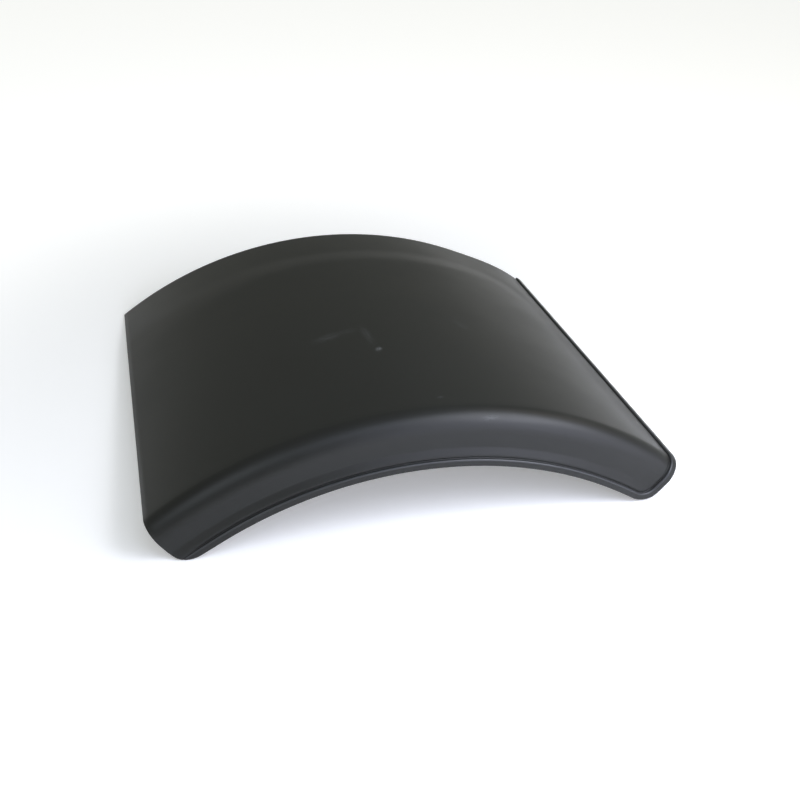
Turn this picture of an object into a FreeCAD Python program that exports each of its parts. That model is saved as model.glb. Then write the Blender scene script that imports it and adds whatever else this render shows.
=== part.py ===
# Mudguard: the arched section that covers a lorry's twin rear wheels, moulded in one piece.
# A thin wall follows the tyre in an arc. The outer side turns over a round shoulder into a skirt,
# which flares a little towards its foot. A raised rim runs along the foot of the skirt, turns the
# lower corner and climbs the guard's rimmed end. The other end and the inner side are plain cuts.
import FreeCAD, Part
import math
import os
from collections import namedtuple

# Driving dimensions, in millimetres and degrees. The wheel axis is Y while the guard is drawn,
# the skirt faces -Y and the rimmed end is towards +X.
panel_radius = 600.0        # wheel axis to the panel's outer skin
guard_width = 655.0         # skirt's face to the plain inner edge, along the axle
arc_angle = 74.4            # from end to end
wall = 4.0
shoulder_radius = 29.0      # outer skin, where the panel turns down into the skirt
border_width = 110.0        # plain inner edge to the middle of the soft ridge
border_drop = 6.0           # how far the skin has fallen at that edge
ridge_width = 36.0          # soft ridge: the slope from the panel down to the border strip
ridge_drop = 2.6
ridge_radius = 450.0        # bend at the top of the ridge
ridge_foot_radius = 800.0   # bend back at its foot
end_bend_length = 60.0      # stretch of the panel beside the rimmed end that bends more tightly
end_bend_radius = 500.0
end_lean = 3.6              # the rimmed end's cut leans this far off square to the panel
skirt_depth = 71.5          # panel to the lower edge of the rim
flare_start = 47.0          # panel to the line where the skirt begins to flare
flare_knee = 53.5           # panel to the line where the flare eases
flare_knee_out = 3.3
flare_out = 4.7
flare_bend_radius = 4.0
flare_knee_radius = 14.0
rim_height = 10.0           # width of the raised rim
rim_standout = 3.4          # how far the rim stands out of the wall beside it
rim_edge_radius = 1.4       # rounds the rim's step, at its root and along its top
rimmed_corner_radius = 31.0
plain_corner_radius = 30.0

# Room by which the tools that trim the wall pass it.
overrun = 30.0

foot_radius = panel_radius - skirt_depth
step_radius = foot_radius + rim_height
wheel_axis = FreeCAD.Vector(0, 1, 0)
axle = FreeCAD.Vector(0, 0, 0)


def spoke(angle):
    """Unit direction square to the wheel axis, at an angle from upright towards +X."""
    return FreeCAD.Vector(math.sin(angle), 0, math.cos(angle))


# The arc ends in a tighter bend that leaves it smoothly, so that bend has a centre of its own.
end_bend_angle = end_bend_length / end_bend_radius
plain_end_angle = -math.radians(arc_angle / 2)
bend_start_angle = math.radians(arc_angle / 2) - end_bend_length / panel_radius
bend_centre = spoke(bend_start_angle) * (panel_radius - end_bend_radius)

# An end of the guard: where its cut meets the panel's outer skin, the cut's angle and the way it faces
# along X, then the centre that the wall bends about there and how much less its radii are about it.
End = namedtuple("End", "top angle faces centre radius_less")
plain_end = End(spoke(plain_end_angle) * panel_radius, plain_end_angle, -1, axle, 0.0)
bend_end_angle = bend_start_angle + end_bend_angle
rimmed_end = End(
    bend_centre + spoke(bend_end_angle) * end_bend_radius, bend_end_angle + math.radians(end_lean), 1,
    bend_centre, panel_radius - end_bend_radius)


def meeting_point(first, second):
    """Point where two lines of the section cross. A line is a point and a direction, as (y, radius) pairs."""
    (y1, r1), (dy1, dr1) = first
    (y2, r2), (dy2, dr2) = second
    along = ((y2 - y1) * dr2 - (r2 - r1) * dy2) / (dy1 * dr2 - dr1 * dy2)
    return (y1 + along * dy1, r1 + along * dr1)


def skin(offset):
    """Corners and bend radii of the section's outer skin, moved outwards by offset, from inner edge to foot."""
    below_foot = foot_radius - overrun
    corners = [
        (guard_width, panel_radius - border_drop),
        (guard_width - border_width + ridge_width / 2, panel_radius - ridge_drop),
        (guard_width - border_width - ridge_width / 2, panel_radius),
        (0, panel_radius),
        (0, panel_radius - flare_start),
        (-flare_knee_out, panel_radius - flare_knee),
        (-flare_out, step_radius),
        (-flare_out, below_foot),
    ]
    lines = []
    for (y1, r1), (y2, r2) in zip(corners, corners[1:]):
        length = math.hypot(y2 - y1, r2 - r1)
        direction = ((y2 - y1) / length, (r2 - r1) / length)
        start = (y1 + offset * direction[1], r1 - offset * direction[0])
        lines.append((start, direction))
    inner_edge = ((guard_width, 0), (0, 1))
    foot = ((0, below_foot), (1, 0))
    cuts = [inner_edge] + lines + [foot]
    moved = [meeting_point(first, second) for first, second in zip(cuts, cuts[1:])]
    radii = [
        0, ridge_foot_radius - offset, ridge_radius + offset, shoulder_radius + offset,
        flare_bend_radius - offset, flare_knee_radius + offset, 0, 0]
    return moved, radii


def rounded_face(corners, radii):
    """Face in the plane of the section, from a closed outline whose corners are rounded by the radii."""
    points = [FreeCAD.Vector(0, y, radius) for y, radius in corners]
    starts = []
    ends = []
    arcs = []
    for index, corner in enumerate(points):
        before = (points[index - 1] - corner).normalize()
        after = (points[(index + 1) % len(points)] - corner).normalize()
        half_turn = (math.pi - before.getAngle(after)) / 2
        reach = radii[index] * math.tan(half_turn)
        starts.append(corner + before * reach)
        ends.append(corner + after * reach)
        if radii[index] > 0:
            inwards = (before + after).normalize()
            middle = corner + inwards * (radii[index] / math.cos(half_turn) - radii[index])
            arcs.append(Part.Arc(starts[-1], middle, ends[-1]).toShape())
    straights = [
        Part.LineSegment(end, starts[(index + 1) % len(starts)]).toShape() for index, end in enumerate(ends)]
    return Part.Face(Part.Wire(Part.__sortEdges__(straights + arcs)))


def arched_wall(outer_offset, inner_offset):
    """Wall between two skins, turned about the wheel axis and then round the tighter bend at the rimmed end."""
    outer_corners, outer_radii = skin(outer_offset)
    inner_corners, inner_radii = skin(inner_offset)
    section = rounded_face(outer_corners + inner_corners[::-1], outer_radii + inner_radii[::-1])
    at_plain_end = section.copy()
    at_plain_end.rotate(axle, wheel_axis, math.degrees(plain_end_angle))
    main_arc = at_plain_end.revolve(axle, wheel_axis, math.degrees(bend_start_angle - plain_end_angle))
    at_bend = section.copy()
    at_bend.rotate(axle, wheel_axis, math.degrees(bend_start_angle))
    past_the_end = end_bend_angle + overrun / end_bend_radius
    end_bend = at_bend.revolve(bend_centre, wheel_axis, math.degrees(past_the_end))
    return main_arc.fuse(end_bend)


def side_view_point(end, along, inset):
    """Point seen from the side: up along the end's cut from the panel, and inset towards the other end."""
    towards_other_end = spoke(end.angle - end.faces * math.pi / 2)
    return end.top + spoke(end.angle) * along + towards_other_end * inset


def lower_corner(end, low_radius, inset, corner_radius):
    """Arc of a rounded corner, as three points from the end's cut to the arc below it."""
    arc_radius = low_radius - end.radius_less
    from_centre = arc_radius + corner_radius
    beside_panel = side_view_point(end, 0, inset + corner_radius) - end.centre
    height = beside_panel.dot(spoke(end.angle))
    along = math.sqrt(height ** 2 - beside_panel.dot(beside_panel) + from_centre ** 2) - height
    corner_centre = side_view_point(end, along, inset + corner_radius)
    on_cut = side_view_point(end, along, inset)
    on_arc = end.centre + (corner_centre - end.centre) * (arc_radius / from_centre)
    outwards = ((on_cut - corner_centre) + (on_arc - corner_centre)).normalize()
    return on_cut, corner_centre + outwards * corner_radius, on_arc


def fan_outline(low_radius, plain_inset, rimmed_inset, plain_corner, rimmed_corner):
    """Outline seen from the side: two end cuts with rounded lower corners, the arc below and one well above."""
    top = rim_standout + overrun
    top_radius = panel_radius + top
    plain_cut, plain_middle, plain_arc = lower_corner(plain_end, low_radius, plain_inset, plain_corner)
    rimmed_cut, rimmed_middle, rimmed_arc = lower_corner(rimmed_end, low_radius, rimmed_inset, rimmed_corner)
    plain_top = side_view_point(plain_end, top, plain_inset)
    rimmed_top = side_view_point(rimmed_end, top, rimmed_inset)
    bend_start = spoke(bend_start_angle) * low_radius
    last_direction = (rimmed_arc - bend_centre).normalize()
    bend_direction = (spoke(bend_start_angle) + last_direction).normalize()
    bend_middle = bend_centre + bend_direction * (low_radius - rimmed_end.radius_less)
    return Part.Wire([
        Part.LineSegment(plain_top, plain_cut).toShape(),
        Part.Arc(plain_cut, plain_middle, plain_arc).toShape(),
        Part.Arc(plain_arc, FreeCAD.Vector(0, 0, low_radius), bend_start).toShape(),
        Part.Arc(bend_start, bend_middle, rimmed_arc).toShape(),
        Part.Arc(rimmed_arc, rimmed_middle, rimmed_cut).toShape(),
        Part.LineSegment(rimmed_cut, rimmed_top).toShape(),
        Part.Arc(rimmed_top, FreeCAD.Vector(0, 0, top_radius), plain_top).toShape(),
    ])


def across_guard(outline):
    """Solid of a side-view outline, drawn out along the axle past both sides of the guard."""
    skirt_reach = flare_out + rim_standout + overrun
    face = Part.Face(outline)
    face.translate(wheel_axis * -skirt_reach)
    return face.extrude(wheel_axis * (skirt_reach + guard_width + overrun))


def round_rim_step(guard, step_outline):
    """Rounds the step of the rim at its root and along its top, all the way round."""
    close = 0.001
    step_edges = []
    for edge in guard.Edges:
        first, last = edge.ParameterRange
        points = [edge.valueAt(first + (last - first) * share) for share in (0.0, 0.5, 1.0)]
        seen_from_side = [Part.Vertex(point.x, 0, point.z) for point in points]
        on_step = all(step_outline.distToShape(vertex)[0] < close for vertex in seen_from_side)
        runs_across = seen_from_side[0].Point.distanceToPoint(seen_from_side[2].Point) < close
        if on_step and not runs_across:
            step_edges.append(edge)
    return guard.makeFillet(rim_edge_radius, step_edges)


def mudguard():
    """The whole guard, still about the wheel axis."""
    outline = fan_outline(foot_radius, 0, 0, plain_corner_radius, rimmed_corner_radius)
    step_corner = rimmed_corner_radius - rim_height
    step_outline = fan_outline(step_radius, -overrun, rim_height, plain_corner_radius, step_corner)
    inner_step_outline = fan_outline(
        step_radius - wall, -overrun, rim_height - wall, plain_corner_radius, step_corner + wall)
    field = across_guard(step_outline)
    inner_field = across_guard(inner_step_outline)

    field_wall = arched_wall(0, -wall).common(field)
    step = arched_wall(rim_standout, -wall).common(inner_field.cut(field))
    rim = arched_wall(rim_standout, rim_standout - wall).cut(inner_field)
    guard = field_wall.fuse([step, rim]).common(across_guard(outline)).removeSplitter()
    return round_rim_step(guard, step_outline)


def placed_on_base(shape):
    """Moves the guard so that the middle of its base is the origin."""
    box = shape.optimalBoundingBox(False, False)
    shape.translate(FreeCAD.Vector(-box.Center.x, -box.Center.y, -box.ZMin))
    return shape


guard = placed_on_base(mudguard())
os.makedirs("parts", exist_ok=True)
guard.exportStep("parts/mudguard.step")
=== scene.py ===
import math

import bpy
import bmesh
from mathutils import Matrix, Vector


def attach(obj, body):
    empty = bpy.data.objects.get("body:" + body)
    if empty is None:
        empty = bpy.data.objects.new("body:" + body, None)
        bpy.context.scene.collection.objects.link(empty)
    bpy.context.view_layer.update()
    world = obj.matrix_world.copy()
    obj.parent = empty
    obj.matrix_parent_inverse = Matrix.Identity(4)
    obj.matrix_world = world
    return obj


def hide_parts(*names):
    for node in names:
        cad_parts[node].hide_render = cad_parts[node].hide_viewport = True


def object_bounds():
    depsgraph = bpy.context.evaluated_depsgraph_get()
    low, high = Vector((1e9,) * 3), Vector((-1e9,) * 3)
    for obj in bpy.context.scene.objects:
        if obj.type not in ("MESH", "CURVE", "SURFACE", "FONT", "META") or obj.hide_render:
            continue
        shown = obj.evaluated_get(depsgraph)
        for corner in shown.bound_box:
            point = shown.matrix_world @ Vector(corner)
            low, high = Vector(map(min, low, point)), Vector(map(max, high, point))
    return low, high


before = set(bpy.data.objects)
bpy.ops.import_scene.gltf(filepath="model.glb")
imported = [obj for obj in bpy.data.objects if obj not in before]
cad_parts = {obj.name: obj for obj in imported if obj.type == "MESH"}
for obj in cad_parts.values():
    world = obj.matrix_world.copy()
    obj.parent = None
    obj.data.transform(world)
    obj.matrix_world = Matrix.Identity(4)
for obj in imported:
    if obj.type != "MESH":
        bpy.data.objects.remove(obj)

cad_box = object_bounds()
MM = 0.001
scene = bpy.context.scene

# The guard's sizes, in millimetres, as in its drawing. It is cut as a flat sheet and then bent:
# along runs from the plain end to the rimmed end, and down runs from the inner edge over the
# shoulder to the foot of the skirt.
PANEL_RADIUS = 600.0
GUARD_WIDTH = 655.0
ARC_ANGLE = math.radians(74.4)
WALL = 4.0
CUT_EDGE_ROUND = 0.6
SHOULDER_RADIUS = 29.0
END_BEND_LENGTH = 60.0
END_BEND_RADIUS = 500.0
END_LEAN = math.radians(3.6)
END_TRUE_WIDTH = 30.0       # beside each end, lengths down the skirt are as on the panel
END_TRUE_FADE = 130.0       # and over this much more they come to follow the arc
SKIRT_DEPTH = 71.5
RIMMED_CORNER = 28.5
PLAIN_CORNER = 30.0

# The raised rim along the foot of the skirt and up the rimmed end.
RIM_HEIGHT = 10.0
RIM_STANDOUT = 3.4
RIM_TOP_ROUND = 2.2
RIM_ROOT_ROUND = 0.5
RIM_GROOVE = 0.8            # the skin sinks a little beside the rim, which draws a dark line there
RIM_SHARE_AT_PLAIN_END = 0.25
RIM_FADE_START = 4.0        # from the plain end to where the rim begins to rise to its full height
RIM_FADE_LENGTH = 55.0
STEP_REACH = 3.0            # the rows of faces that shape the rim's step reach this far to each side
STEP_ROWS = 15
WEAR_AND_HIGHLIGHT_INSET = 8.8            # from the guard's edge to the round on top of the step, polished by handling and painted paler there as a highlight
WEAR_AND_HIGHLIGHT_REACH = 1.6

# The flared foot of the skirt, as the drop from the panel and the reach outwards.
FLARE_OUT = 4.7
SKIRT_FLARE = [(47.0, 0.0), (57.5, 4.5), (61.5, FLARE_OUT), (SKIRT_DEPTH, FLARE_OUT)]
FLARE_BEND_SPREAD = 1.2
FLARE_LOST_AT_RIMMED_END = 0.7
FLARE_EASE_LENGTH = 80.0

# The soft ridge: a low step down to the border, along the inner edge and round to the rimmed end.
RIDGE_FROM_INNER_EDGE = 110.0
RIDGE_FROM_RIMMED_END = 66.0
RIDGE_CORNER = 70.0
RIDGE_WIDTH = 56.0
RIDGE_BOW = 26.0            # towards the plain end it moves in by this much, widens and fades
RIDGE_FADE_LENGTH = 330.0
RIDGE_FADE_SHARE = 0.6
RIDGE_DROP = 2.6
BORDER_FALL = 3.4
BORDER_SLOW_START = 40.0    # past the ridge the border's fall sets in over about this much
BORDER_FADE_AT_SHOULDER = 60.0

# Beside the rimmed end the ridge's step is lower and comes up again before the rim.
END_DIP = 1.0
END_DIP_RETURN = 1.35
END_DIP_FLAT = 16.0
END_DIP_RISE = 32.0
STRAIGHT_END = 15.0         # the border's fall fades out towards this end, which stays straight
STRAIGHT_END_FADE = 150.0

ARC_LENGTH = PANEL_RADIUS * ARC_ANGLE
BEND_START = ARC_LENGTH - END_BEND_LENGTH
SHOULDER_LENGTH = SHOULDER_RADIUS * math.pi / 2
PANEL_LENGTH = GUARD_WIDTH - SHOULDER_RADIUS
SKIRT_LENGTH = SKIRT_DEPTH - SHOULDER_RADIUS
SHEET_LENGTH = PANEL_LENGTH + SHOULDER_LENGTH + SKIRT_LENGTH

# The wheel axis and the skirt's face in the guard's own frame. The CAD guard's box ends at the plain
# end of the panel, at the face of the rim and at the crown.
AXLE_X = cad_box[0][0] / MM + PANEL_RADIUS * math.sin(ARC_ANGLE / 2)
SKIRT_FACE_Y = cad_box[0][1] / MM + FLARE_OUT + RIM_STANDOUT
AXLE_Z = cad_box[1][2] / MM - PANEL_RADIUS


def ease(share):
    """Soft S from 0 to 1."""
    share = min(max(share, 0.0), 1.0)
    return share * share * (3 - 2 * share)


def flare_line(drop):
    """The flare with sharp bends."""
    for (drop_a, out_a), (drop_b, out_b) in zip(SKIRT_FLARE, SKIRT_FLARE[1:]):
        if drop_a <= drop <= drop_b:
            return out_a + (out_b - out_a) * (drop - drop_a) / (drop_b - drop_a)
    return 0.0 if drop < SKIRT_FLARE[0][0] else SKIRT_FLARE[-1][1]


def flare_reach(drop):
    """How far the skirt stands outwards at a drop below the panel, with the flare's bends eased."""
    offsets = [FLARE_BEND_SPREAD * step for step in (-1.0, -0.5, 0.0, 0.5, 1.0)]
    return sum(flare_line(drop + offset) for offset in offsets) / len(offsets)


def section_point(down, inwards, flare_share=1.0):
    """Point of the section (across, radius), a given way down the sheet and inwards of the outer skin."""
    if down <= PANEL_LENGTH:
        return GUARD_WIDTH - down, PANEL_RADIUS - inwards
    round_shoulder = (down - PANEL_LENGTH) / SHOULDER_RADIUS
    if round_shoulder <= math.pi / 2:
        reach = SHOULDER_RADIUS - inwards
        centre = PANEL_RADIUS - SHOULDER_RADIUS
        return SHOULDER_RADIUS - reach * math.sin(round_shoulder), centre + reach * math.cos(round_shoulder)
    drop = SHOULDER_RADIUS + down - PANEL_LENGTH - SHOULDER_LENGTH
    return inwards - flare_share * flare_reach(drop), PANEL_RADIUS - drop


def past_ridge(past_inner, past_end):
    """How far a point lies past the ridge's round corner, and how much of that is towards the inner edge."""
    corner_a = past_inner + RIDGE_CORNER
    corner_b = past_end + RIDGE_CORNER
    if corner_a > 0 and corner_b > 0:
        reach = math.hypot(corner_a, corner_b)
        return reach - RIDGE_CORNER, (corner_a / reach) ** 2
    return max(past_inner, past_end), 1.0 if past_inner > past_end else 0.0


def border_drop(along, down):
    """How far the skin falls past the soft ridge, towards the inner edge and towards the rimmed end."""
    from_end = ARC_LENGTH - along
    plain_share = 1 - ease(along / RIDGE_FADE_LENGTH)
    border_width = RIDGE_FROM_INNER_EDGE + RIDGE_BOW * plain_share
    ridge_width = RIDGE_WIDTH * (1 + plain_share)
    ridge_drop = RIDGE_DROP * (1 - RIDGE_FADE_SHARE * plain_share)
    past, inner_share = past_ridge(border_width - down, RIDGE_FROM_RIMMED_END - from_end)
    step = ease(past / ridge_width + 0.5)

    on_border = max(past, 0.0)
    slow_share = on_border ** 2 / (on_border + BORDER_SLOW_START)
    fall_share = slow_share * (border_width + BORDER_SLOW_START) / border_width ** 2
    inner_fall = ridge_drop * step + (RIDGE_DROP + BORDER_FALL - ridge_drop) * fall_share
    inner_fall *= ease((from_end - STRAIGHT_END) / STRAIGHT_END_FADE)
    end_fall = END_DIP * step * (1 - END_DIP_RETURN * ease((past - END_DIP_FLAT) / END_DIP_RISE))

    before_shoulder = 1 - ease((down - PANEL_LENGTH + BORDER_FADE_AT_SHOULDER) / BORDER_FADE_AT_SHOULDER)
    return before_shoulder * (end_fall + (inner_fall - end_fall) * inner_share)


def rim_step(inset, step_at):
    """Moves an inset from the rimmed outline onto the step's profile: returns the new inset and the rise."""
    near, far = step_at - STEP_REACH, step_at + STEP_REACH
    if inset <= near:
        return inset, RIM_STANDOUT
    if inset >= far:
        return inset, 0.0
    top, root = RIM_TOP_ROUND, RIM_ROOT_ROUND
    wall = RIM_STANDOUT - top - root
    runs = [step_at - top - near, top * math.pi / 2, wall, root * math.pi / 2, far - step_at - root]
    walked = (inset - near) / (far - near) * sum(runs)
    if walked < runs[0]:
        return near + walked, RIM_STANDOUT
    walked -= runs[0]
    if walked < runs[1]:
        turn = walked / top
        return step_at - top + top * math.sin(turn), RIM_STANDOUT - top + top * math.cos(turn)
    walked -= runs[1]
    if walked < runs[2]:
        return step_at, RIM_STANDOUT - top - walked
    walked -= runs[2]
    if walked < runs[3]:
        turn = walked / root
        sunk = RIM_GROOVE * walked / runs[3]
        return step_at + root - root * math.cos(turn), root - root * math.sin(turn) - sunk
    walked -= runs[3]
    return step_at + root + walked, -RIM_GROOVE * (1 - ease(walked / runs[4]))


def inset_from_rim(along, down):
    """Distance in from the rimmed outline, and the way back out to it."""
    a = along - (ARC_LENGTH - RIMMED_CORNER)
    b = down - (SHEET_LENGTH - RIMMED_CORNER)
    if a > 0 and b > 0:
        reach = math.hypot(a, b)
        return RIMMED_CORNER - reach, (a / reach, b / reach)
    if a > b:
        return RIMMED_CORNER - a, (1.0, 0.0)
    return RIMMED_CORNER - b, (0.0, 1.0)


def true_along(along, down):
    """Keeps the ends' true widths down the skirt, where the arc is shorter than on the panel."""
    from_end = ARC_LENGTH - along
    radius = section_point(down, 0.0)[1]
    if from_end < along:
        bend_ratio = END_BEND_RADIUS / (END_BEND_RADIUS - PANEL_RADIUS + radius)
        lean_back = (PANEL_RADIUS - radius) * math.tan(END_LEAN)
        end_share = 1 - ease((from_end - END_TRUE_WIDTH) / END_TRUE_FADE)
        moved_in = from_end * (1 + (bend_ratio - 1) * end_share) + lean_back * bend_ratio * end_share
        return ARC_LENGTH - moved_in
    arc_ratio = PANEL_RADIUS / radius
    plain_share = 1 - ease((along - END_TRUE_WIDTH) / END_TRUE_FADE)
    return along * (1 + (arc_ratio - 1) * plain_share)


def side_view_place(along, radius, drop):
    """Place about the wheel axis (x, z): round the main arc, and then round the tighter bend at the end."""
    start_angle = -ARC_ANGLE / 2
    # Skin that has dropped towards the axle keeps its length, so it takes up a larger angle.
    spread = 1 + drop / PANEL_RADIUS
    if along <= BEND_START:
        angle = (start_angle + along / PANEL_RADIUS) * spread
        return radius * math.sin(angle), radius * math.cos(angle)
    bend_angle = start_angle + BEND_START / PANEL_RADIUS
    shift = PANEL_RADIUS - END_BEND_RADIUS
    angle = bend_angle * spread + (along - BEND_START) / END_BEND_RADIUS
    x = shift * math.sin(bend_angle) + (radius - shift) * math.sin(angle)
    z = shift * math.cos(bend_angle) + (radius - shift) * math.cos(angle)
    return x, z


def bent_point(along, down, inwards, step_at):
    """Where a point of the flat sheet comes to lie on the finished guard, in metres."""
    inset, outwards = inset_from_rim(along, down)
    inset_to, rise = rim_step(inset, step_at)
    along += (inset - inset_to) * outwards[0]
    down += (inset - inset_to) * outwards[1]
    rim_grown = ease((along - RIM_FADE_START) / RIM_FADE_LENGTH)
    rise *= RIM_SHARE_AT_PLAIN_END + (1 - RIM_SHARE_AT_PLAIN_END) * rim_grown
    drop = border_drop(along, down)
    # The flare eases off beside the rimmed end, so that the lower corner runs round in one sweep.
    flare_share = 1 - FLARE_LOST_AT_RIMMED_END * (1 - ease((ARC_LENGTH - along) / FLARE_EASE_LENGTH))
    across, radius = section_point(down, inwards - rise + drop, flare_share)
    x, z = side_view_place(true_along(along, down), radius, drop)
    return Vector(((x + AXLE_X) * MM, (across + SKIRT_FACE_Y) * MM, (z + AXLE_Z) * MM))


def inner_place(along, down):
    """Moves the sheet's rows along the rim outwards by the wall, onto the inner skin's step."""
    settle_length = 17.0
    still_at_plain_end = 30.0
    fade_from_plain_end = 40.0
    inset, outwards = inset_from_rim(along, down)
    far, near = RIM_HEIGHT + STEP_REACH, RIM_HEIGHT - STEP_REACH
    if inset < near:
        moved = inset * (near - WALL) / near
    elif inset < far:
        moved = inset - WALL
    else:
        moved = inset - WALL * max(0.0, 1 - (inset - far) / settle_length)
    shift = (inset - moved) * ease((along - still_at_plain_end) / fade_from_plain_end)
    return along + shift * outwards[0], down + shift * outwards[1]


def cut(shape, along=None, down=None):
    """Scores a straight line across the flat sheet."""
    point = (along or 0.0, down or 0.0, 0.0)
    normal = (1, 0, 0) if down is None else (0, 1, 0)
    everything = shape.verts[:] + shape.edges[:] + shape.faces[:]
    bmesh.ops.bisect_plane(shape, geom=everything, dist=0.02, plane_co=point, plane_no=normal)


def trim(shape, point, outwards):
    """Cuts the flat sheet along a line and drops what lies outside."""
    everything = shape.verts[:] + shape.edges[:] + shape.faces[:]
    bmesh.ops.bisect_plane(
        shape, geom=everything, dist=0.02, plane_co=(*point, 0), plane_no=(*outwards, 0), clear_outer=True)


def rimmed_blank():
    """Flat blank with its rimmed corner rounded and rows of faces along the rim, too long on two sides."""
    overrun = 200.0
    shape = bmesh.new()
    bmesh.ops.create_grid(shape, x_segments=1, y_segments=1, size=0.5)
    size = (ARC_LENGTH + overrun, SHEET_LENGTH + overrun, 1.0)
    bmesh.ops.scale(shape, verts=shape.verts, vec=size)
    middle = ((ARC_LENGTH - overrun) / 2, (SHEET_LENGTH - overrun) / 2, 0)
    bmesh.ops.translate(shape, verts=shape.verts, vec=middle)
    corner = max(shape.verts, key=lambda vert: vert.co.x + vert.co.y)
    bmesh.ops.bevel(
        shape, geom=[corner], offset=RIMMED_CORNER, affect="VERTICES", segments=12, profile=0.5, material=-1)

    rows_on_rim = [1.0, 4.0]
    row_width = 2 * STEP_REACH / STEP_ROWS
    rows_on_step = [RIM_HEIGHT - STEP_REACH + row_width * row for row in range(STEP_ROWS + 1)]
    inside = max(shape.faces, key=lambda face: face.calc_area())
    done = 0.0
    for row in rows_on_rim + rows_on_step:
        bmesh.ops.inset_region(
            shape, faces=[inside], thickness=row - done, use_even_offset=True, use_boundary=True)
        done = row
    return shape


def score_rows(shape):
    """Scores the rows of faces across the blank: even on the panel, fine at the shoulder and the flare."""
    arc_rows = 84
    clear_of_rim = 34.0
    for row in range(1, arc_rows):
        at = ARC_LENGTH * row / arc_rows
        if at < ARC_LENGTH - clear_of_rim:
            cut(shape, along=at)
    for from_end in (31.0, 25.0, 19.0):
        cut(shape, along=ARC_LENGTH - from_end)

    first_row, row_width, clear_of_shoulder = 6, 9, 4
    for down in range(first_row, int(PANEL_LENGTH) - clear_of_shoulder, row_width):
        cut(shape, down=float(down))
    shoulder_rows = 16
    for row in range(shoulder_rows + 1):
        cut(shape, down=PANEL_LENGTH + SHOULDER_LENGTH * row / shoulder_rows)
    flare_rows = (34.0, 40.0, 44.0, 46.0, 46.8, 47.6, 48.4, 50.0, 52.0, 54.0, 55.5, 56.5, 57.5, 58.5, 59.5)
    for drop in flare_rows:
        cut(shape, down=PANEL_LENGTH + SHOULDER_LENGTH + drop - SHOULDER_RADIUS)


def flat_sheet():
    """The guard's flat sheet, in millimetres, trimmed at its plain end, inner edge and plain corner."""
    shape = rimmed_blank()
    score_rows(shape)
    trim(shape, (0, 0), (-1, 0))
    trim(shape, (0, 0), (0, -1))
    corner_steps = 14
    centre = (PLAIN_CORNER, SHEET_LENGTH - PLAIN_CORNER)
    for step in range(corner_steps + 1):
        turn = math.pi / 2 * step / corner_steps
        outwards = (-math.cos(turn), math.sin(turn))
        touch = [c + PLAIN_CORNER * o for c, o in zip(centre, outwards)]
        trim(shape, touch, outwards)
    return shape


def bent_skins():
    """The outer and the inner skin, bent from the flat sheet, with a mask on the outer rim's edge for its
    wear and its painted highlight.
    """
    shape = flat_sheet()
    # The layer comes first, because adding one makes earlier references to vertices and faces invalid.
    rim_wear_and_highlight = shape.verts.layers.float.new("rim_wear_and_highlight")
    sheet = shape.verts[:] + shape.edges[:] + shape.faces[:]
    copied = bmesh.ops.duplicate(shape, geom=sheet)["geom"]
    inner_verts = set(item for item in copied if isinstance(item, bmesh.types.BMVert))
    inner_faces = [item for item in copied if isinstance(item, bmesh.types.BMFace)]
    for vert in shape.verts:
        along, down = vert.co.x, vert.co.y
        if vert in inner_verts:
            vert.co = bent_point(*inner_place(along, down), WALL, RIM_HEIGHT - WALL)
        else:
            inset = inset_from_rim(along, down)[0]
            # The mask holds the rim edge's wear, which lowers the roughness, and its painted highlight, a
            # paler colour.
            vert[rim_wear_and_highlight] = max(0.0, 1 - abs(inset - WEAR_AND_HIGHLIGHT_INSET) / WEAR_AND_HIGHLIGHT_REACH)
            vert.co = bent_point(along, down, 0.0, RIM_HEIGHT)
    bmesh.ops.reverse_faces(shape, faces=inner_faces)
    return shape


def new_object(name, shape):
    """Object in the scene from a finished bmesh."""
    mesh = bpy.data.meshes.new(name)
    shape.to_mesh(mesh)
    shape.free()
    made = bpy.data.objects.new(name, mesh)
    scene.collection.objects.link(made)
    return made


def moulded_guard():
    """The finished guard: its two skins joined round the edge, with the edge's corners rounded a little."""
    shape = bent_skins()
    open_edges = [edge for edge in shape.edges if edge.is_boundary]
    bmesh.ops.bridge_loops(shape, edges=open_edges)
    bmesh.ops.remove_doubles(shape, verts=shape.verts, dist=0.02 * MM)
    bmesh.ops.recalc_face_normals(shape, faces=shape.faces)
    sharp_angle = 1.0
    cut_edges = [
        edge for edge in shape.edges if len(edge.link_faces) == 2 and edge.calc_face_angle() > sharp_angle]
    bmesh.ops.bevel(
        shape, geom=cut_edges, offset=CUT_EDGE_ROUND * MM, affect="EDGES", segments=2, profile=0.5,
        material=-1)
    bmesh.ops.dissolve_degenerate(shape, dist=0.01 * MM, edges=shape.edges)
    for face in shape.faces:
        face.smooth = True
    return new_object("guard_shell", shape)


def linear(hex_colour):
    """Linear RGBA of an sRGB hex colour."""
    channels = [int(hex_colour[start:start + 2], 16) / 255 for start in (1, 3, 5)]
    lit = [c / 12.92 if c <= 0.04045 else ((c + 0.055) / 1.055) ** 2.4 for c in channels]
    return (*lit, 1.0)


def add_node(tree, kind, links=None, **settings):
    """Adds a node. Settings go to its properties or input sockets, and links join sockets to its inputs."""
    node = tree.nodes.new(kind)
    for name, value in settings.items():
        if hasattr(node, name):
            setattr(node, name, value)
        else:
            node.inputs[name.replace("_", " ")].default_value = value
    for name, socket in (links or {}).items():
        tree.links.new(socket, node.inputs[name])
    return node


def new_material(name):
    """Empty material with its output node."""
    material = bpy.data.materials.new(name)
    material.use_nodes = True
    material.node_tree.nodes.clear()
    output = material.node_tree.nodes.new("ShaderNodeOutputMaterial")
    return material, material.node_tree, output


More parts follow.
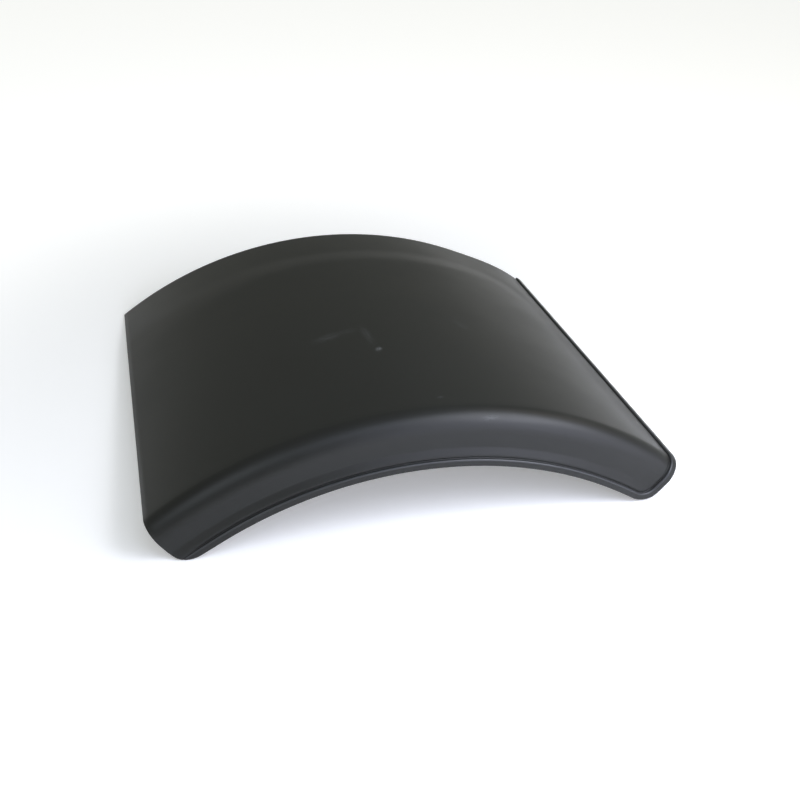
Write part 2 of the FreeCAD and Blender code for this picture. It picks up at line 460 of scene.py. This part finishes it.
# Marks of handling on the outer skin, in millimetres: the middle's x and y, the turn in degrees, the length,
# the width, and the share of the pale colour at the middle.
HANDLING_MARKS = [
    (-84, -67, 14, 66, 30, 0.10),
    (-56, -60, 8, 60, 22, 0.05),
    (-29, -79, 94, 92, 18, 0.09),
    (-23, -126, 60, 20, 14, 0.42),
    (23, -274, 20, 14, 7, 0.20),
    (79, -315, 4, 40, 8, 0.14),
    (121, -49, -58, 60, 22, 0.06),
]


def handling_mark(tree, place, mark):
    """Strength of one scuff: an oval that fades outwards and is broken into streaks along its length."""
    x, y, turn, length, width, shows = mark
    crown_height, reach_down = 160.0, 200.0
    laid = add_node(
        tree, "ShaderNodeMapping", {"Vector": place}, vector_type="TEXTURE",
        Location=(x * MM, y * MM, crown_height * MM), Rotation=(0, 0, math.radians(turn)),
        Scale=(length / 2 * MM, width / 2 * MM, reach_down * MM))
    away = add_node(tree, "ShaderNodeVectorMath", {0: laid.outputs["Vector"]}, operation="LENGTH")
    streaks = add_node(tree, "ShaderNodeTexNoise", {"Vector": laid.outputs["Vector"]}, Scale=2.4, Detail=3.0)
    streaks_in_edge = 1.6
    rough_edge = add_node(
        tree, "ShaderNodeMath", {0: streaks.outputs["Fac"], 2: away.outputs["Value"]},
        operation="MULTIPLY_ADD")
    rough_edge.inputs[1].default_value = streaks_in_edge
    fade = add_node(
        tree, "ShaderNodeMapRange", {"Value": rough_edge.outputs[0]}, interpolation_type="SMOOTHSTEP",
        From_Min=1.8, From_Max=0.7, To_Min=0.0, To_Max=shows)
    broken = add_node(
        tree, "ShaderNodeMapRange", {"Value": streaks.outputs["Fac"]}, From_Min=0.38, From_Max=0.6)
    strength = add_node(
        tree, "ShaderNodeMath", {0: fade.outputs["Result"], 1: broken.outputs["Result"]},
        operation="MULTIPLY")
    return strength.outputs[0]


def all_scuffs(tree, place):
    """Strength of the scuffs together, only where the skin faces up."""
    skin = add_node(tree, "ShaderNodeNewGeometry")
    facing = add_node(tree, "ShaderNodeSeparateXYZ", {"Vector": skin.outputs["Normal"]})
    faces_up = add_node(
        tree, "ShaderNodeMapRange", {"Value": facing.outputs["Z"]}, From_Min=0.0, From_Max=0.2)
    strengths = [handling_mark(tree, place, mark) for mark in HANDLING_MARKS]
    strongest = strengths[0]
    for strength in strengths[1:]:
        both = add_node(tree, "ShaderNodeMath", {0: strongest, 1: strength}, operation="MAXIMUM")
        strongest = both.outputs[0]
    scuffs = add_node(
        tree, "ShaderNodeMath", {0: strongest, 1: faces_up.outputs["Result"]}, operation="MULTIPLY")
    return scuffs.outputs[0]


def black_polyethylene():
    """Polyethylene, black and moulded: a satin skin that stays dark face on and pales at a glance.

    The mould's fine blasted grain softens every highlight, and the skin is a little cloudy where the sheet
    cooled unevenly. Handling has left a few pale scuffs on top and has polished the edge of the rim; that
    edge is also painted paler as a highlight, and with the polish it shows as a bright line.
    """
    material, tree, output = new_material("black_moulded_polyethylene")
    place = add_node(tree, "ShaderNodeTexCoord").outputs["Object"]
    scuffs = all_scuffs(tree, place)
    rim_polish_and_highlight = add_node(tree, "ShaderNodeAttribute", attribute_name="rim_wear_and_highlight").outputs["Fac"]
    cloud_size = 130.0
    clouds = add_node(tree, "ShaderNodeTexNoise", {"Vector": place}, Scale=1 / (cloud_size * MM), Detail=3.0)
    # The real grain is about 0.3 mm. It is drawn at 1.2 mm, or it would not show.
    grain_size = 1.2
    grain = add_node(tree, "ShaderNodeTexNoise", {"Vector": place}, Scale=1 / (grain_size * MM), Detail=2.0)

    tone = add_node(tree, "ShaderNodeMix", {"Factor": clouds.outputs["Fac"]}, data_type="RGBA")
    tone.inputs["A"].default_value = linear("#171817")
    tone.inputs["B"].default_value = linear("#1f201f")
    # Painted highlight: the rim's edge is given a paler colour, so that it shows as a bright line.
    painted_rim_highlight = add_node(tree, "ShaderNodeMix", {"Factor": rim_polish_and_highlight, "A": tone.outputs["Result"]}, data_type="RGBA")
    painted_rim_highlight.inputs["B"].default_value = linear("#3c3d3f")
    colour = add_node(
        tree, "ShaderNodeMix", {"Factor": scuffs, "A": painted_rim_highlight.outputs["Result"]}, data_type="RGBA")
    colour.inputs["B"].default_value = linear("#a3a5a8")

    dulled_by_scuffs, polished_by_wear = 0.4, -0.18
    sheen = add_node(
        tree, "ShaderNodeMapRange", {"Value": clouds.outputs["Fac"]}, From_Min=0.3, From_Max=0.7,
        To_Min=0.37, To_Max=0.43)
    scuffed_sheen = add_node(
        tree, "ShaderNodeMath", {0: scuffs, 2: sheen.outputs["Result"]}, operation="MULTIPLY_ADD")
    scuffed_sheen.inputs[1].default_value = dulled_by_scuffs
    roughness = add_node(
        tree, "ShaderNodeMath", {0: rim_polish_and_highlight, 2: scuffed_sheen.outputs[0]}, operation="MULTIPLY_ADD")
    roughness.inputs[1].default_value = polished_by_wear

    grain_depth = 0.1
    bump = add_node(
        tree, "ShaderNodeBump", {"Height": grain.outputs["Fac"]}, Strength=0.5, Distance=grain_depth * MM)
    inputs = {
        "Base Color": colour.outputs["Result"],
        "Roughness": roughness.outputs[0],
        "Normal": bump.outputs["Normal"],
    }
    shader = add_node(tree, "ShaderNodeBsdfPrincipled", inputs, IOR=1.4)
    tree.links.new(shader.outputs["BSDF"], output.inputs["Surface"])
    return material


# The floor looks a little paler than the lamps make it, and more so far from the guard. The distances are
# in metres from the middle of its base.
FLOOR_LIFT_NEAR = 0.28
FLOOR_LIFT_FAR = 0.65
FLOOR_NEAR_ENDS = 0.42
FLOOR_FAR_STARTS = 1.1


def pale_floor():
    """Matt white studio floor."""
    material, tree, output = new_material("pale_floor")
    paint = add_node(tree, "ShaderNodeBsdfDiffuse")
    paint.inputs["Color"].default_value = linear("#eeeeee")
    rays = add_node(tree, "ShaderNodeLightPath")
    seen = rays.outputs["Is Camera Ray"]
    for kind in ("Is Glossy Ray", "Is Transmission Ray"):
        either = add_node(tree, "ShaderNodeMath", {0: seen, 1: rays.outputs[kind]}, operation="MAXIMUM")
        seen = either.outputs[0]
    place = add_node(tree, "ShaderNodeTexCoord")
    away = add_node(tree, "ShaderNodeVectorMath", {0: place.outputs["Object"]}, operation="LENGTH")
    paler = add_node(
        tree, "ShaderNodeMapRange", {"Value": away.outputs["Value"]}, interpolation_type="SMOOTHSTEP",
        From_Min=FLOOR_NEAR_ENDS, From_Max=FLOOR_FAR_STARTS, To_Min=FLOOR_LIFT_NEAR, To_Max=FLOOR_LIFT_FAR)
    lift = add_node(tree, "ShaderNodeMath", {0: seen, 1: paler.outputs["Result"]}, operation="MULTIPLY")
    glow = add_node(tree, "ShaderNodeEmission", {"Strength": lift.outputs[0]})
    both = add_node(tree, "ShaderNodeAddShader", {0: paint.outputs[0], 1: glow.outputs[0]})
    tree.links.new(both.outputs[0], output.inputs["Surface"])
    return material


def lay_floor():
    """Floor just below the guard's four lowest corners, of which those on the inner side lie higher."""
    slope = math.radians(3.25)
    size = 14.0
    clearance = 0.3 * MM
    skirt_side = -cad_box[0][1]
    shape = bmesh.new()
    bmesh.ops.create_grid(shape, x_segments=1, y_segments=1, size=size / 2)
    bmesh.ops.rotate(shape, verts=shape.verts, cent=(0, 0, 0), matrix=Matrix.Rotation(slope, 3, "X"))
    height = skirt_side * math.tan(slope) - clearance
    bmesh.ops.translate(shape, verts=shape.verts, vec=(0, 0, height))
    floor = new_object("floor", shape)
    floor.data.materials.append(pale_floor())


def soft_light(name, direction, distance, size, watts, tint):
    """Square soft box that looks at the guard."""
    guard_middle = Vector((0, 0, 80 * MM))
    lamp = bpy.data.lights.new(name, "AREA")
    lamp.size = size
    lamp.energy = watts
    lamp.color = linear(tint)[:3]
    light = bpy.data.objects.new(name, lamp)
    way = Vector(direction).normalized()
    light.location = way * distance + guard_middle
    light.rotation_euler = way.to_track_quat("Z", "Y").to_euler()
    scene.collection.objects.link(light)


def studio_room():
    """The room: white near the floor's horizon, dim higher up."""
    world = bpy.data.worlds.new("studio_room")
    scene.world = world
    world.use_nodes = True
    tree = world.node_tree
    tree.nodes.clear()
    way = add_node(tree, "ShaderNodeTexCoord")
    parts = add_node(tree, "ShaderNodeSeparateXYZ", {"Vector": way.outputs["Generated"]})
    height = add_node(
        tree, "ShaderNodeMapRange", {"Value": parts.outputs["Z"]}, interpolation_type="SMOOTHSTEP",
        From_Min=0.075, From_Max=0.11)
    light = add_node(tree, "ShaderNodeMix", {"Factor": height.outputs["Result"]}, data_type="RGBA")
    light.inputs["A"].default_value = linear("#ffffff")
    light.inputs["B"].default_value = linear("#8f9188")
    back = add_node(tree, "ShaderNodeBackground", {"Color": light.outputs["Result"]})
    add_node(tree, "ShaderNodeOutputWorld", {"Surface": back.outputs[0]})


def place_camera():
    """Camera of the photograph, in the guard's frame."""
    camera = bpy.data.objects.new("camera", bpy.data.cameras.new("camera"))
    camera.data.sensor_width = 36.0
    camera.data.lens = 49.17
    camera.data.clip_end = 60.0
    yaw = Matrix.Rotation(math.radians(-15.556), 4, "Z")
    pitch = Matrix.Rotation(math.radians(90 - 29.513), 4, "X")
    roll = Matrix.Rotation(math.radians(2.109), 4, "Z")
    camera.matrix_world = Matrix.Translation((-0.3568, -1.4446, 0.8565)) @ yaw @ pitch @ roll
    scene.collection.objects.link(camera)
    scene.camera = camera


guard = moulded_guard()
guard.data.materials.append(black_polyethylene())
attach(guard, "root")
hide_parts("mudguard")

lay_floor()
studio_room()
place_camera()

# Three large soft boxes hang over the guard, and three smaller ones stand nearer, towards its skirt and its
# rimmed end.
soft_light("over_front", (0.05, -0.57, 0.78), 2.6, 1.3, 10.0, "#dae4ff")
soft_light("over_left", (-0.6, -0.5, 0.6), 2.6, 1.3, 10.0, "#edf4ff")
soft_light("over_right", (0.75, 0.1, 0.7), 2.6, 1.3, 3.8, "#ffeed0")
soft_light("near_front_right_high", (0.6, -0.6, 0.8), 1.3, 0.7, 10.0, "#eff3ff")
soft_light("near_front_right", (0.8, -0.8, 0.45), 1.15, 0.8, 5.4, "#e8ebff")
soft_light("near_front", (0.3, -1.0, 0.3), 1.15, 0.7, 3.2, "#e2e6ff")

scene.view_settings.view_transform = "Standard"
